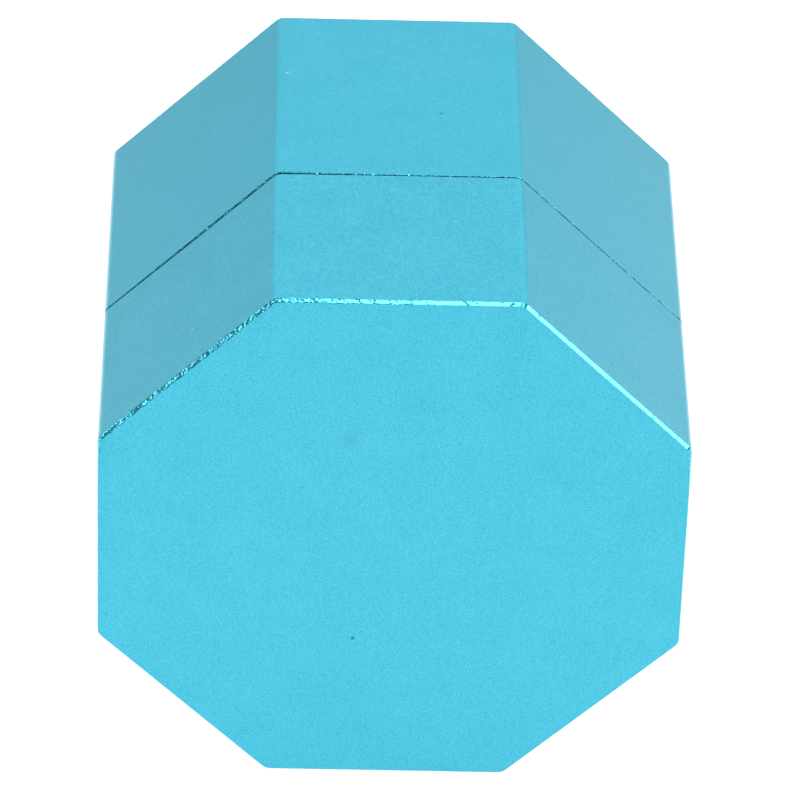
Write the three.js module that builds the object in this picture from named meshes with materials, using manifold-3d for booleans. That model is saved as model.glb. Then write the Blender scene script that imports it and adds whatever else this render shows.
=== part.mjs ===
// Rock tumbler barrel: an octagonal two-part aluminium shell with a moulded rubber liner.
//
// The rear shell (the body) carries a round neck with a four-start external thread. The front
// shell (the lid) screws over the neck, so the two octagons meet at a thin seam. A rubber liner
// with an octagonal chamber fills the body and folds out over the end of the neck. Inside the lid
// a stainless plate in a rubber boot closes the chamber: it hangs from a swivel in the lid's
// middle, so it presses on the liner without turning while the lid is screwed down.
//
// Units are millimetres. Every piece is first made in the barrel's own axis frame, where +Z is the
// barrel's axis pointing out through the lid and z = 0 is the mouth of the body. The exported
// group lays that axis down: +Z is up, the lid faces -Y, and the barrel rests on one flat.
import * as THREE from "three";
import { mergeVertices } from "three/addons/utils/BufferGeometryUtils.js";
import Module from "manifold-3d";

const wasm = await Module();
wasm.setup();

// Outside shape
const ACROSS_FLATS = 120;
const LENGTH = 105;
const LID_LENGTH = 45;
const SEAM_GAP = 0.4;
const EDGE_RADIUS = 2.6; // on the eight long edges
const END_CHAMFER = 0.7; // round both end faces
const MOUTH_CHAMFER = 0.25; // on the edges that meet at the seam
const OCTAGON_SIDES = 8;

// Shell walls
const LID_WALL = 5; // at the middle of a flat, outside the thread
const LID_FRONT_WALL = 6.4;
const CHAMBER_STEP = 1.4; // the lid's bore narrows by this beyond the thread
const BODY_FLOOR = 6;
const NECK_WALL = 3.4;
const NECK_LENGTH = 16;
const NECK_LEAD_IN = 0.8;
const INNER_CORNER = 2; // at the bottom of each bore
const GAP = 0.3; // between pieces that rest on each other

// Thread: four starts, so the flats line up on every start
const STARTS = 4;
const LEAD = 16;
const THREAD_DEPTH = 2;
const THREAD_CLEARANCE = 0.6; // radial, between a crest and the wall that it faces
const RIB_ROOT = 2.2; // a rib's thickness along the axis where it grows out of its wall
const RIB_CREST = 1.4;
const RIB_BURIED = 0.5;
const RIB_FROM = 7.2;
const RIB_TURN = Math.PI;
const RIB_STEPS = 24;
const RIB_FADE = 0.12; // share of the rib's length that each run-out takes

// Neck O-ring
const O_RING_SECTION = 3.1;
const O_RING_SQUASH_GAP = 0.3;
const GROOVE_FROM = 1.6;
const GROOVE_WIDTH = 3.8;
const GROOVE_DEPTH = 1.2;

// Rubber liner
const CHAMBER_ACROSS_FLATS = 85;
const CHAMBER_CORNER = 4;
const LINER_FLOOR = 6;
const LINER_FLANGE = 3;
const LINER_FLANGE_RADIUS = 52;

// Sealing plate and its rubber boot
const BOOT_RADIUS = 52.2;
const BOOT_FACE = 2.3; // rubber between the liner and the plate
const BOOT_LIP = 1.7; // rubber folded over the plate's dry side
const BOOT_LIP_INNER_RADIUS = 46;
const PLUG_ACROSS_FLATS = 84;
const PLUG_DEPTH = 7.6;
const PLUG_CORNER = 3.5;
const PLUG_CHAMFER = 1;
const PLATE_THICKNESS = 3;
const PLATE_RADIUS = 50.4;

// Swivel: an M8 stub through the plate, a plain shaft, and a head held in the lid's pocket
const STUB_RADIUS = 4;
const NUT_ACROSS_FLATS = 13;
const NUT_HEIGHT = 4;
const WASHER_THICKNESS = 1.4;
const WASHER_RADIUS = 7.2;
const NUT_POCKET_RADIUS = 8.6;
const SHAFT_RADIUS = 6.5;
const SHAFT_LENGTH = 8.4;
const HEAD_RADIUS = 10.4;
const HEAD_HEIGHT = 4;
const SOCKET_ACROSS_FLATS = 6;
const SOCKET_DEPTH = 2.5;
const POCKET_RADIUS = 11;
const BOSS_RADIUS = 19;
const THRUST_WASHER_THICKNESS = 1.5;
const THRUST_WASHER_HOLE = 4;

// Retainer ring and its four M3 countersunk screws
const RING_RADIUS = 18.5;
const RING_THICKNESS = 2.3;
const RING_BORE_CLEARANCE = 0.6;
const RING_END_PLAY = 0.5;
const SCREW_COUNT = 4;
const SCREW_CIRCLE = 14.5;
const SCREW_RADIUS = 1.35;
const SCREW_LENGTH = 9;
const SCREW_HEAD_RADIUS = 2.9;
const SCREW_HEAD_HEIGHT = 1.5;
const SCREW_SOCKET_ACROSS_FLATS = 2;
const SCREW_SOCKET_DEPTH = 1.2;

// Facets
const ROUND_SEGMENTS = 48;
const SMALL_SEGMENTS = 24;
const TINY_SEGMENTS = 16;
const SECTION_SEGMENTS = 8;
const CORNER_SEGMENTS = 4;
const OVERCUT = 1; // how far a cutting tool runs past the face that it opens

// Radii, from the outside in
const lidBore = ACROSS_FLATS / 2 - LID_WALL;
const lidChamberRadius = lidBore - CHAMBER_STEP;
const neckCrest = lidBore - THREAD_CLEARANCE;
const neckRadius = neckCrest - THREAD_DEPTH;
const bodyBore = neckRadius - NECK_WALL;
const linerRadius = bodyBore - GAP;
const ringBore = SHAFT_RADIUS + RING_BORE_CLEARANCE;
const ringSpigotRadius = POCKET_RADIUS - GAP;
const holeForStub = STUB_RADIUS + GAP;
const holeForScrew = SCREW_RADIUS + GAP;

// Stations along the axis, from the back to the front
const lidMouth = SEAM_GAP;
const lidFront = lidMouth + LID_LENGTH;
const bodyBack = lidFront - LENGTH;
const boreFloor = bodyBack + BODY_FLOOR;
const linerBack = boreFloor + GAP;
const chamberBack = linerBack + LINER_FLOOR;
const flangeBack = NECK_LENGTH + GAP;
const flangeFront = flangeBack + LINER_FLANGE;
const bootBack = flangeFront + GAP;
const slotBack = bootBack + BOOT_FACE;
const plateBack = slotBack + GAP;
const plateFront = plateBack + PLATE_THICKNESS;
const slotFront = plateFront + GAP;
const bootFront = slotFront + BOOT_LIP;
const plugBack = bootBack - PLUG_DEPTH;
const washerBack = slotBack - WASHER_THICKNESS;
const nutBack = washerBack - GAP - NUT_HEIGHT;
const stubBack = nutBack - GAP;
const nutPocketBack = stubBack - GAP;
const shaftBack = plateFront + GAP;
const headBack = shaftBack + SHAFT_LENGTH;
const headFront = headBack + HEAD_HEIGHT;
const thrustBack = headFront + GAP;
const thrustFront = thrustBack + THRUST_WASHER_THICKNESS;
const pocketFloor = thrustFront + GAP;
const lidInside = lidFront - LID_FRONT_WALL;
const ringBack = bootFront - GAP;
const ringFlangeFront = ringBack + RING_THICKNESS;
const bossBack = ringFlangeFront + GAP;
const chamberStepAt = flangeBack + OVERCUT;

// A closed three.js geometry as a manifold-3d solid with its faces pointing out.
function solid(geometry) {
  const flat = geometry.index ? geometry.toNonIndexed() : geometry;
  const bare = new THREE.BufferGeometry().setAttribute("position", flat.getAttribute("position"));
  const merged = mergeVertices(bare, 1e-4);
  const triangles = [];
  for (let i = 0; i < merged.index.count; i += 3) {
    const [a, b, c] = [0, 1, 2].map((k) => merged.index.getX(i + k));
    if (a !== b && b !== c && c !== a) triangles.push([a, b, c]);
  }
  const build = (order) =>
    new wasm.Manifold(
      new wasm.Mesh({
        numProp: 3,
        vertProperties: new Float32Array(merged.attributes.position.array),
        triVerts: new Uint32Array(triangles.flatMap(order)),
      }),
    );
  const made = build((t) => t);
  return made.volume() > 0 ? made : build(([a, b, c]) => [a, c, b]);
}

// A solid of revolution about the axis, from [radius, station] pairs that start and end on the
// axis or close on themselves.
function turned(profile, segments = ROUND_SEGMENTS) {
  const points = profile.map(([radius, station]) => new THREE.Vector2(radius, station));
  return solid(new THREE.LatheGeometry(points, segments).rotateX(Math.PI / 2));
}

// A round bar or a drill, from one station to another.
function bar(radius, from, to, segments = ROUND_SEGMENTS) {
  return turned(
    [
      [0, from],
      [radius, from],
      [radius, to],
      [0, to],
    ],
    segments,
  );
}

// A regular polygon standing on one flat, with rounded corners.
function polygon(sides, acrossFlats, cornerRadius) {
  const half = Math.PI / sides;
  const toCorner = (acrossFlats / 2 - cornerRadius) / Math.cos(half);
  const shape = new THREE.Shape();
  for (let i = 0; i < sides; i++) {
    const angle = -Math.PI / 2 + half * (2 * i + 1);
    const [x, y] = [toCorner * Math.cos(angle), toCorner * Math.sin(angle)];
    shape.absarc(x, y, cornerRadius, angle - half, angle + half, false);
  }
  return shape.closePath();
}

// A straight prism of a shape, with the same chamfer on the edges of both ends.
function prism(shape, from, to, chamfer = 0) {
  const geometry = new THREE.ExtrudeGeometry(shape, {
    depth: to - from - 2 * chamfer,
    bevelEnabled: chamfer > 0,
    bevelThickness: chamfer,
    bevelSize: chamfer,
    bevelOffset: -chamfer,
    bevelSegments: 1,
    curveSegments: CORNER_SEGMENTS,
  });
  return solid(geometry.translate(0, 0, from + chamfer));
}

// The octagonal outside of one shell: a chamfered end face at `end`, a finer edge at `mouth`.
function shellBlock(end, mouth) {
  const outline = polygon(OCTAGON_SIDES, ACROSS_FLATS, EDGE_RADIUS);
  const beyond = Math.sign(mouth - end) * END_CHAMFER * 4;
  const [a, b] = [end, mouth + beyond].sort((p, q) => p - q);
  const [c, d] = [end - beyond, mouth].sort((p, q) => p - q);
  return prism(outline, a, b, END_CHAMFER).intersect(prism(outline, c, d, MOUTH_CHAMFER));
}

// Hexagonal bar, for nuts and for the sockets of keys.
function hexBar(acrossFlats, from, to) {
  const radius = acrossFlats / 2 / Math.cos(Math.PI / 6);
  return bar(radius, from, to, 6);
}

// One rib of the screw thread, wound as a right-hand helix. A rib on the neck grows outwards
// (direction 1) and one in the lid grows inwards (direction -1); both fade out at their ends.
function threadRib(wallRadius, direction, startAngle) {
  const section = new THREE.Shape([
    new THREE.Vector2(-RIB_BURIED, -RIB_ROOT / 2),
    new THREE.Vector2(THREAD_DEPTH, -RIB_CREST / 2),
    new THREE.Vector2(THREAD_DEPTH, RIB_CREST / 2),
    new THREE.Vector2(-RIB_BURIED, RIB_ROOT / 2),
  ]);
  const straight = new THREE.ExtrudeGeometry(section, { depth: 1, steps: RIB_STEPS, bevelEnabled: false });
  const position = straight.getAttribute("position");
  for (let i = 0; i < position.count; i++) {
    const along = position.getZ(i);
    const fade = Math.min(1, along / RIB_FADE, (1 - along) / RIB_FADE);
    const height = position.getX(i) > 0 ? THREAD_DEPTH * fade - RIB_BURIED * (1 - fade) * 0.5 : -RIB_BURIED;
    const radius = wallRadius + direction * height;
    const turn = along * RIB_TURN;
    position.setXYZ(
      i,
      radius * Math.cos(startAngle + turn),
      radius * Math.sin(startAngle + turn),
      RIB_FROM + (LEAD * turn) / (2 * Math.PI) + position.getY(i),
    );
  }
  return solid(straight);
}

// All the ribs of one thread, evenly spaced round the axis.
function thread(wallRadius, direction, firstAngle) {
  const ribs = [];
  for (let i = 0; i < STARTS; i++) {
    ribs.push(threadRib(wallRadius, direction, firstAngle + (2 * Math.PI * i) / STARTS));
  }
  return ribs;
}

// The rear shell: octagonal block, round neck with its O-ring groove and thread, and the bore.
function bodyShell() {
  const grooveEnd = GROOVE_FROM + GROOVE_WIDTH;
  const neck = turned([
    [0, -OVERCUT],
    [neckRadius, -OVERCUT],
    [neckRadius, GROOVE_FROM],
    [neckRadius - GROOVE_DEPTH, GROOVE_FROM],
    [neckRadius - GROOVE_DEPTH, grooveEnd],
    [neckRadius, grooveEnd],
    [neckRadius, NECK_LENGTH - NECK_LEAD_IN],
    [neckRadius - NECK_LEAD_IN, NECK_LENGTH],
    [0, NECK_LENGTH],
  ]);
  const bore = turned([
    [0, boreFloor],
    [bodyBore - INNER_CORNER, boreFloor],
    [bodyBore, boreFloor + INNER_CORNER],
    [bodyBore, NECK_LENGTH + OVERCUT],
    [0, NECK_LENGTH + OVERCUT],
  ]);
  const ribbed = thread(neckRadius, 1, 0).reduce((whole, rib) => whole.add(rib), neck);
  return shellBlock(bodyBack, 0).add(ribbed).subtract(bore);
}

// The front shell: octagonal block with the threaded bore, and the boss that holds the swivel.
function lidShell() {
  const bore = turned([
    [0, lidMouth - OVERCUT],
    [lidBore, lidMouth - OVERCUT],
    [lidBore, chamberStepAt],
    [lidChamberRadius, chamberStepAt],
    [lidChamberRadius, lidInside - INNER_CORNER],
    [lidChamberRadius - INNER_CORNER, lidInside],
    [0, lidInside],
  ]);
  const boss = bar(BOSS_RADIUS, bossBack, lidInside + OVERCUT, SMALL_SEGMENTS);
  const pocket = bar(POCKET_RADIUS, bossBack - OVERCUT, pocketFloor, SMALL_SEGMENTS);
  let shell = shellBlock(lidFront, lidMouth).subtract(bore).add(boss).subtract(pocket);
  for (const rib of thread(lidBore, -1, Math.PI / STARTS)) shell = shell.add(rib);
  const hole = bar(holeForScrew, bossBack - OVERCUT, ringBack + SCREW_LENGTH + OVERCUT, TINY_SEGMENTS);
  return eachScrewPlace(hole).reduce((whole, drill) => whole.subtract(drill), shell);
}

// Rubber cup: round outside, octagonal chamber, and a flange folded out over the neck's end.
function bodyLiner() {
  const outside = turned([
    [0, linerBack],
    [linerRadius - INNER_CORNER, linerBack],
    [linerRadius, linerBack + INNER_CORNER],
    [linerRadius, flangeBack],
    [LINER_FLANGE_RADIUS, flangeBack],
    [LINER_FLANGE_RADIUS, flangeFront],
    [0, flangeFront],
  ]);
  const outline = polygon(OCTAGON_SIDES, CHAMBER_ACROSS_FLATS, CHAMBER_CORNER);
  return outside.subtract(prism(outline, chamberBack, flangeFront + OVERCUT));
}

// O-ring in the groove at the foot of the neck; it keeps grit out of the thread.
function neckORing() {
  const radius = O_RING_SECTION / 2;
  const middle = lidBore - O_RING_SQUASH_GAP - radius;
  const station = GROOVE_FROM + GROOVE_WIDTH / 2;
  const profile = [];
  for (let i = 0; i <= SECTION_SEGMENTS; i++) {
    const angle = (2 * Math.PI * (i % SECTION_SEGMENTS)) / SECTION_SEGMENTS;
    profile.push([middle + radius * Math.cos(angle), station + radius * Math.sin(angle)]);
  }
  return turned(profile);
}

// Stainless disc that the swivel pushes towards the liner.
function sealPlate() {
  const disc = bar(PLATE_RADIUS, plateBack, plateFront);
  return disc.subtract(bar(holeForStub, plateBack - OVERCUT, plateFront + OVERCUT, SMALL_SEGMENTS));
}

// Rubber boot snapped over the plate's rim. Its octagonal plug fills the liner's mouth, which
// stops it turning, and hides the nut.
function sealBoot() {
  const disc = bar(BOOT_RADIUS, bootBack, bootFront);
  const outline = polygon(OCTAGON_SIDES, PLUG_ACROSS_FLATS, PLUG_CORNER);
  const plug = prism(outline, plugBack, slotBack, PLUG_CHAMFER);
  const slot = bar(PLATE_RADIUS + GAP, slotBack, slotFront);
  const lipOpening = bar(BOOT_LIP_INNER_RADIUS, slotBack, bootFront + OVERCUT);
  const nutPocket = bar(NUT_POCKET_RADIUS, nutPocketBack, slotFront, SMALL_SEGMENTS);
  return disc.add(plug).subtract(slot).subtract(lipOpening).subtract(nutPocket);
}

// Stainless spindle: threaded stub, shaft and head, with a key socket in the head.
function swivelSpindle() {
  const spindle = turned(
    [
      [0, stubBack],
      [STUB_RADIUS, stubBack],
      [STUB_RADIUS, shaftBack],
      [SHAFT_RADIUS, shaftBack],
      [SHAFT_RADIUS, headBack],
      [HEAD_RADIUS, headBack],
      [HEAD_RADIUS, headFront],
      [0, headFront],
    ],
    SMALL_SEGMENTS,
  );
  return spindle.subtract(hexBar(SOCKET_ACROSS_FLATS, headFront - SOCKET_DEPTH, headFront + OVERCUT));
}

// Jam nut that clamps the spindle to the plate.
function spindleNut() {
  const nut = hexBar(NUT_ACROSS_FLATS, nutBack, nutBack + NUT_HEIGHT);
  return nut.subtract(bar(holeForStub, nutBack - OVERCUT, nutBack + NUT_HEIGHT + OVERCUT, SMALL_SEGMENTS));
}

// A flat ring between two stations.
function flatRing(outer, inner, from, to) {
  return bar(outer, from, to, SMALL_SEGMENTS).subtract(
    bar(inner, from - OVERCUT, to + OVERCUT, SMALL_SEGMENTS),
  );
}

// Copies of a tool that stands on the axis, moved out to each screw's place.
function eachScrewPlace(tool) {
  const copies = [];
  for (let i = 0; i < SCREW_COUNT; i++) {
    const angle = (2 * Math.PI * (i + 0.5)) / SCREW_COUNT;
    copies.push(tool.translate([SCREW_CIRCLE * Math.cos(angle), SCREW_CIRCLE * Math.sin(angle), 0]));
  }
  return copies;
}

// A countersunk screw on the axis, `clearance` thicker all round than the real one.
function countersunk(clearance, length) {
  const [head, shank] = [SCREW_HEAD_RADIUS + clearance, SCREW_RADIUS + clearance];
  return turned(
    [
      [0, ringBack],
      [head, ringBack],
      [shank, ringBack + SCREW_HEAD_HEIGHT],
      [shank, ringBack + length],
      [0, ringBack + length],
    ],
    TINY_SEGMENTS,
  );
}

// Stepped ring screwed to the boss; its spigot keeps the spindle's head in the pocket.
function retainerRing() {
  const ring = turned(
    [
      [0, ringBack],
      [RING_RADIUS, ringBack],
      [RING_RADIUS, ringFlangeFront],
      [ringSpigotRadius, ringFlangeFront],
      [ringSpigotRadius, headBack - RING_END_PLAY],
      [0, headBack - RING_END_PLAY],
    ],
    SMALL_SEGMENTS,
  );
  const bored = ring.subtract(bar(ringBore, ringBack - OVERCUT, headBack, SMALL_SEGMENTS));
  const hole = countersunk(GAP, RING_THICKNESS + OVERCUT);
  return eachScrewPlace(hole).reduce((whole, drill) => whole.subtract(drill), bored);
}

// The retainer's countersunk screws, each with a hexagonal socket.
function retainerScrews() {
  const socket = hexBar(SCREW_SOCKET_ACROSS_FLATS, ringBack - OVERCUT, ringBack + SCREW_SOCKET_DEPTH);
  return eachScrewPlace(countersunk(0, SCREW_LENGTH).subtract(socket));
}

const anodised = new THREE.MeshStandardMaterial({ color: 0x2fb3d4, roughness: 0.45, metalness: 1 });
const linerRubber = new THREE.MeshStandardMaterial({ color: 0x1b1c1e, roughness: 0.85, metalness: 0 });
const sealRubber = new THREE.MeshStandardMaterial({ color: 0x232326, roughness: 0.7, metalness: 0 });
const stainless = new THREE.MeshStandardMaterial({ color: 0xb9bcbf, roughness: 0.3, metalness: 1 });
const acetal = new THREE.MeshStandardMaterial({ color: 0xe9e7df, roughness: 0.5, metalness: 0 });

const barrel = new THREE.Group();

// Adds one named piece to the barrel.
function place(name, made, material) {
  const { vertProperties, triVerts } = made.getMesh();
  const geometry = new THREE.BufferGeometry()
    .setAttribute("position", new THREE.BufferAttribute(vertProperties, 3))
    .setIndex(new THREE.BufferAttribute(triVerts, 1));
  geometry.computeVertexNormals();
  const mesh = new THREE.Mesh(geometry, material);
  mesh.name = name;
  barrel.add(mesh);
}

place("body_shell", bodyShell(), anodised);
place("body_liner", bodyLiner(), linerRubber);
place("neck_o_ring", neckORing(), sealRubber);
place("lid_shell", lidShell(), anodised);
place("seal_plate", sealPlate(), stainless);
place("seal_boot", sealBoot(), sealRubber);
place("swivel_spindle", swivelSpindle(), stainless);
place("spindle_washer", flatRing(WASHER_RADIUS, holeForStub, washerBack, slotBack), stainless);
place("spindle_nut", spindleNut(), stainless);
place("thrust_washer", flatRing(ringSpigotRadius, THRUST_WASHER_HOLE, thrustBack, thrustFront), acetal);
place("retainer_ring", retainerRing(), stainless);
retainerScrews().forEach((screw, i) => place(`retainer_screw_${i + 1}`, screw, stainless));

// Lay the axis down along Y, with the lid at the front and the lowest flat on z = 0.
barrel.rotation.x = Math.PI / 2;
barrel.position.set(0, lidFront - LENGTH / 2, ACROSS_FLATS / 2);

export default barrel;
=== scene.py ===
"""The looks of the rock tumbler barrel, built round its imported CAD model.

The two octagonal shells are bead-blasted, sky-blue anodised aluminium with a bright-cut chamfer
round each end. Their necks and bores are turned. The liner and the seals are black rubber, the
swivel is stainless, and its thrust washer is acetal. Every piece is a skin: a row of rings round
the barrel's axis, from one pole to the other, each ring a circle, an octagon or a hexagon.
"""

import math
from collections import namedtuple

import bmesh
import bpy
from mathutils import Matrix, Vector, noise


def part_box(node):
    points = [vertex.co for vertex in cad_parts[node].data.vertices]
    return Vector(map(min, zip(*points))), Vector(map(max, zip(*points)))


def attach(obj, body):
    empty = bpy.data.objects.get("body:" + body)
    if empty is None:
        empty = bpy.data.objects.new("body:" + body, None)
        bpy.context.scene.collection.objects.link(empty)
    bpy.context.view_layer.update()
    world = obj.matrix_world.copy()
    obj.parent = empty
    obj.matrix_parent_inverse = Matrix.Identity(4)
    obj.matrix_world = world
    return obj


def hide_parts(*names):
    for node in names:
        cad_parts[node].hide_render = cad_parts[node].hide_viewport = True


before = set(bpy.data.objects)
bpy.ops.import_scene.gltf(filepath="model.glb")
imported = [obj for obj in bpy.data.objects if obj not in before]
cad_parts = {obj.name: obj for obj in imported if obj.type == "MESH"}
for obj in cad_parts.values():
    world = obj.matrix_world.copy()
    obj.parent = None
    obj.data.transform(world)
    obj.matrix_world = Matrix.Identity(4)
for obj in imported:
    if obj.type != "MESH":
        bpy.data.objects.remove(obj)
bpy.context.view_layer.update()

# ---------------------------------------------------------------- sizes, in mm in the axis frame
# The axis frame has the barrel's axis as Z, pointing out through the lid, and the body's mouth at 0.
# Angles in it run from 0 on the right, over 90 degrees at the top, to 180 on the left, seen from
# the front.

MM = 0.001
FIT_GAP = 0.3  # between pieces that touch on the real barrel
EASE = 0.3  # how far a turned edge is rounded
BORE_EASE = 2.0  # and the corner between a bore and its floor
HEXAGON = 6

NECK_LENGTH = 16.0
NECK_RADIUS = 52.4
NECK_CHAMFER = 0.8
BODY_BORE = 49.0
BODY_FLOOR = 6.0
LID_BORE = 55.0
LID_CHAMBER = 53.6
LID_STEP_AT = 17.3
LID_FRONT_WALL = 6.4
SIDES = 8
LONG_EDGE_RADIUS = 2.6
FACE_HUB = 18.0  # radius of the ring round an end face's middle
FACE_BORDER = 4.0  # from an end face's outer ring to the flats

# A cut's width on top and what share of it is left underneath, how uneven its borders are, how deep
# the tool dented it, how far knocks widened it, and the mean width of the dark line painted along it
# and how uneven that is. On the end chamfers that line is partly painted shade, most of all on the
# upper left; on the mouths it is painted shade standing for the shade in the seam.
Cut = namedtuple("Cut", "width least uneven facet nick line line_uneven")
END_CUT = Cut(0.56, 0.3, 0.06, 0.14, 0.0, 0.06, 0.15)
# On the mouths the dark line is painted shade: a dark band on the mouth ledges for the shade in the
# seam.
BODY_MOUTH_CUT = Cut(0.03, 1.0, 0.01, 0.01, 1.0, 0.5, 0.0)
LID_MOUTH_CUT = Cut(0.05, 1.0, 0.02, 0.01, 0.0, 0.5, 0.0)

O_RING_GROOVE = (1.6, 5.4, 1.2)  # from, to, depth
THREAD_STARTS = 4
THREAD_LEAD = 16.0
THREAD_DEPTH = 2.0
THREAD_FROM = 7.2
THREAD_TURN = math.pi
RIB_ROOT = 2.2
RIB_CREST = 1.4
RIB_EASE = 0.22
RIB_BURIED = 0.5
RIB_FADE = 0.12

BOSS_RADIUS = 19.0
POCKET_RADIUS = 11.0
POCKET_WALL = 5.4  # between the pocket's floor and the lid's front face
SCREW_CIRCLE = 14.5
SCREW_COUNT = 4
SCREW_HOLE_RADIUS = 1.65
SCREW_HOLE_BEYOND = 1.0  # how far a hole goes on past its screw's tip
TOOL_PROUD = 1.0  # how far a drill stands proud of what it drills
SCREW_RADIUS = 1.35
SCREW_HEAD_RADIUS = 2.9
SCREW_KEY = 2.0  # across the socket's flats
SCREW_KEY_CORNER = 0.08
SCREW_KEY_DEPTH = 1.2
SCREW_KEY_TIP = 0.3  # how much deeper the socket's point is
SCREW_KEY_RIM = 0.62  # the radius of the flat round the socket, as a share of the key
COUNTERSINK_RADIUS = 3.2
COUNTERSINK_RIM = 0.15
COUNTERSINK_DEPTH = 1.5

CHAMBER_ACROSS_FLATS = 85.0
CHAMBER_CORNER = 4.0
CHAMBER_LIP = 1.5
CHAMBER_FLOOR_EASE = 5.0
CHAMBER_FLOOR_CORNER = 0.8
LINER_FLOOR = 6.0
LINER_FLANGE = 3.0
LINER_RADIUS = 48.7
LINER_FACE_IN = 1.4  # from there to where the flange's face turns from round to octagonal
PLUG_ACROSS_FLATS = 84.0
PLUG_CORNER = 3.5
PLUG_EASE = 1.4
PLUG_ROOT = 0.4
BOOT_EASE = 0.9
BOOT_FACE_IN = 3.0  # from the rim to where the sealing face turns from round to octagonal
BOOT_LIP_INNER_RADIUS = 46.0
BOOT_SLOT_RADIUS = 50.7
HUB_RADIUS = 20.0  # radius of the ring round the middle of the chamber's floor and the plug's end
NUT_POCKET_RADIUS = 8.6
NUT_POCKET_ROOM = 0.6
NUT_CORNER = 0.1
NUT_CHAMFER = 0.7
STUB_RADIUS = 4.0
STUB_HOLE = 4.3
SHAFT_RADIUS = 6.5
HEAD_THICKNESS = 4.0
HEAD_KEY = 6.0
HEAD_KEY_CORNER = 0.15
HEAD_KEY_RIM = 5.2
HEAD_KEY_DEPTH = 2.5
HEAD_KEY_TIP = 0.9
THRUST_BORE = 4.0
RING_BORE = 7.1
SPIGOT_RADIUS = 10.7
RING_FLANGE = 2.3
RING_MIDDLE = 12.0
JOIN_STEP = 0.01  # between the first and the last ring of a skin that closes on itself

CHATTER_AT = math.radians(135)  # where the cutter chattered most
CHATTER_FOCUS = 8  # how closely the chatter keeps to that place
KNOCKED_AT = math.radians(100)  # where the body's mouth was knocked most
KNOCKED_FOCUS = 4
NICK_ABOVE = 0.06  # how much of the knocks' random value leaves no nick
LEAST_CUT = 0.3  # what share of its mean width a cut keeps at its narrowest
LEAST_LINE = 0.01
LINE_AT_CHATTER = 0.6  # how much the chatter and the raggedness widen a cut's dark line,
LINE_RAGGED = 1.3
LINE_LESS = 0.3  # and what is taken off both
FLAT_LINE_ABOVE = 0.3  # how much chatter it takes for the line to show on the flats too
LEAST_DENT = 0.1  # what share of the dents is there without any chatter

SIDE_FADE = 0.15  # how soon a cut narrows below the top of the sides
SEAM_SLACK = 0.22  # how much wider than true the seam is all round, but for one tight place
SEAM_TIGHT = 0.27  # how much narrower it is there
SEAM_TIGHT_AT = math.radians(165)
SEAM_TIGHT_FOCUS = 8

# Over how many mm along the outline each random value changes.
FINE_RIPPLE = 0.9
COARSE_RIPPLE = 4.5
KNOCK_RIPPLE = 0.6
RAGGED_RIPPLE = 0.8
DENT_RIPPLE = 0.45

# Points round a ring. An outer edge has enough for its small nicks.
EDGE_COUNT = 1920
ROUND_COUNT = 240
HUB_COUNT = 120
SMALL_COUNT = 48
TINY_COUNT = 24
EASE_STEPS = 4
SHARP_ANGLE = math.radians(28)

body_low, body_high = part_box("body_shell")
lid_low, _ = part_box("lid_shell")
MOUTH_Y = body_low.y + NECK_LENGTH * MM
AXIS_Z = (body_low.z + body_high.z) / 2
ACROSS_FLATS = (body_high.x - body_low.x) / MM
FACE_CENTRE = Vector((0, lid_low.y, AXIS_Z))
TO_ROW = (
    Matrix.Translation((0, MOUTH_Y, AXIS_Z))
    @ Matrix.Rotation(math.pi / 2, 4, "X")
    @ Matrix.Scale(MM, 4)
)


def span(node):
    """Where a CAD node starts and ends along the axis."""
    low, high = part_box(node)
    return (MOUTH_Y - high.y) / MM, (MOUTH_Y - low.y) / MM


def reach(node):
    """Half a CAD node's width."""
    low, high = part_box(node)
    return (high.x - low.x) / 2 / MM


# ---------------------------------------------------------------- outlines and skins

# The third finish paints a dark line along the chamfers, partly painted shade, and the shade in the
# seam.
BLASTED, CUT, DARK_LINE_AND_SEAM_SHADE, TURNED = range(4)  # the shells' finishes
Ring = namedtuple("Ring", "radius station finish count", defaults=(0, ROUND_COUNT))


def off_flat(angle, sides):
    """The angle between a direction and the nearest flat's middle. One flat faces down."""
    half = math.pi / sides
    return abs((angle + math.pi / 2 + half) % (2 * half) - half)


def polygon(sides, across_flats, corner):
    """How far the outline of a regular polygon with rounded corners is from the axis, by angle."""
    half = math.pi / sides
    to_corner = (across_flats / 2 - corner) / math.cos(half)
    flat_half = (across_flats / 2 - corner) * math.tan(half)

    def radius(angle):
        away = off_flat(angle, sides)
        if across_flats / 2 * math.tan(away) <= flat_half:
            return across_flats / 2 / math.cos(away)
        across = to_corner * math.sin(half - away)
        return to_corner * math.cos(half - away) + math.sqrt(max(0.0, corner**2 - across**2))

    return radius


def within(outline, limit):
    """An outline cut off at a circle, as a chamfered nut's is."""
    return lambda angle: min(outline(angle), limit)


def value(what, angle):
    """A number, or a function of the angle at that angle."""
    return what(angle) if callable(what) else what


def ring_points(ring):
    """The points of one ring, from the lowest point round; a ring of no radius is a pole."""
    if ring.radius == 0:
        return [(0.0, 0.0, value(ring.station, 0))]
    points = []
    for i in range(ring.count):
        angle = 2 * math.pi * i / ring.count - math.pi / 2
        radius = value(ring.radius, angle)
        points.append((radius * math.cos(angle), radius * math.sin(angle), value(ring.station, angle)))
    return points


def band(a, b):
    """The faces between two rings of vertices, where one may have a whole number of times more."""
    if len(a) < len(b):
        return [face[::-1] for face in band(b, a)]
    step = len(a) // len(b)
    faces = []
    for j in range(len(b)):
        outer = [a[(step * j + k) % len(a)] for k in range(step + 1)]
        inner = [b[(j + 1) % len(b)], b[j]] if len(b) > 1 else [b[0]]
        faces.append(outer + inner)
    return faces


def fan(loop, pole):
    """The triangles between a ring of vertices and a pole."""
    return [(loop[i], loop[(i + 1) % len(loop)], pole) for i in range(len(loop))]


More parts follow.
